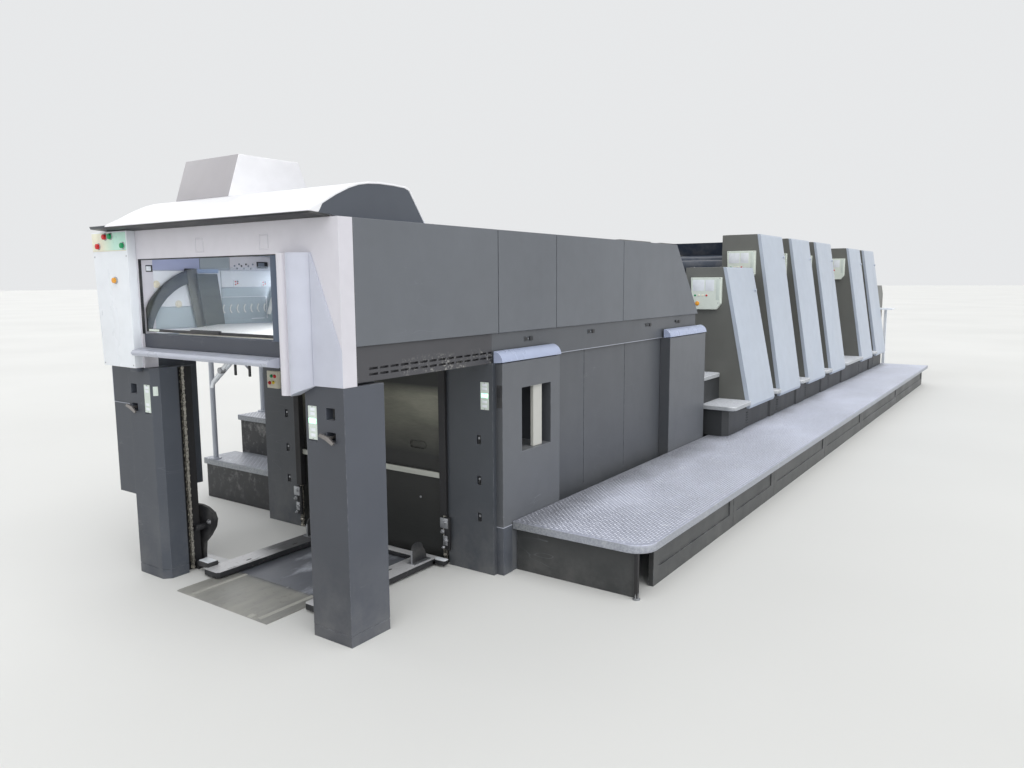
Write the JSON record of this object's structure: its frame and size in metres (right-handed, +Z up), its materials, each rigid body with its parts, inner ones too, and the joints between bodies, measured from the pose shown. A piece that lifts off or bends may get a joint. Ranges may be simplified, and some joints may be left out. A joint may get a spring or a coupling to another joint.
{
  "type": "offset printing press",
  "caption": "Sheetfed offset printing press with a raised delivery end, a row of printing units with inclined guards, tread-plate walkways and a feeder.",
  "frame": {"origin": "centre of the bounding box at floor level", "axes": "X runs along the sheet path from the delivery to the feeder, Y across the press with the operator side at -Y, Z up"},
  "size_m": [13.616, 3.67, 2.275],
  "materials": {
    "dark_paint": "satin",
    "panel_paint": "satin",
    "light_paint": "satin",
    "white_paint": "satin",
    "guard_paint": "satin",
    "unit_paint": "satin",
    "black_paint": "satin",
    "cap_metal": "brushed",
    "tread_plate": "worn",
    "bare_steel": "worn",
    "chain_steel": "oiled",
    "clear_guard": "satin",
    "cream_plastic": "matt",
    "pale_plastic": "matt"
  },
  "bodies": {
    "press_frame": {"front_column_operator": "dark_paint", "front_column_drive": "dark_paint", "rear_post_operator": "dark_paint", "rear_post_drive": "dark_paint", "delivery_fascia": "light_paint", "corner_cowl": "light_paint", "window_sill": "dark_paint", "bumper_rail": "cap_metal", "control_box": "white_paint", "side_cabinet": "dark_paint", "delivery_housing": "panel_paint", "side_panels": "panel_paint", "vent_band": "black_paint", "extraction_hood": "white_paint", "exhaust_box": "white_paint", "delivery_inner_panel": "bare_steel", "sheet_fingers": "pale_plastic", "delivery_table": "cream_plastic", "hoist_guides": "black_paint", "hoist_chains": "chain_steel", "floor_ramp": "bare_steel", "bay_back_plate": "bare_steel", "dryer_body": "dark_paint", "side_pillars": "dark_paint", "pillar_caps": "cap_metal", "service_window": "white_paint", "unit_1": "unit_paint", "unit_2": "unit_paint", "unit_3": "unit_paint", "unit_4": "unit_paint", "unit_5": "unit_paint", "unit_6": "unit_paint", "unit_guard_1": "guard_paint", "unit_guard_2": "guard_paint", "unit_guard_3": "guard_paint", "unit_guard_4": "guard_paint", "unit_guard_5": "guard_paint", "unit_guard_6": "guard_paint", "unit_control_panels": "pale_plastic", "cylinder_guards": "black_paint", "base_skirt": "black_paint", "step_boxes": "black_paint", "step_treads": "tread_plate", "operator_deck": "tread_plate", "deck_skirt": "black_paint", "deck_legs": "black_paint", "drive_deck": "tread_plate", "drive_steps": "tread_plate", "feeder_frame": "unit_paint", "feed_board": "bare_steel", "suction_head": "black_paint", "feeder_pile_table": "bare_steel", "feeder_side_tray": "white_paint", "hood_end_plate": "dark_paint", "light_barriers": "pale_plastic", "column_levers": "pale_plastic", "side_stop": "black_paint", "ink_rollers": "black_paint"},
    "delivery_guard": {"delivery_guard": "clear_guard"},
    "pile_carriage": {"pile_carriage": "bare_steel"}
  },
  "joints": [
    {"name": "delivery_guard_hinge", "type": "hinge", "parent": "press_frame", "child": "delivery_guard", "pos_m": [-6.33, 0, 1.362], "axis": [0, 1, 0], "range_deg": [0, 80]},
    {"name": "pile_hoist", "type": "slide", "parent": "press_frame", "child": "pile_carriage", "axis": [0, 0, 1], "range_m": [0, 0.85]}
  ]
}
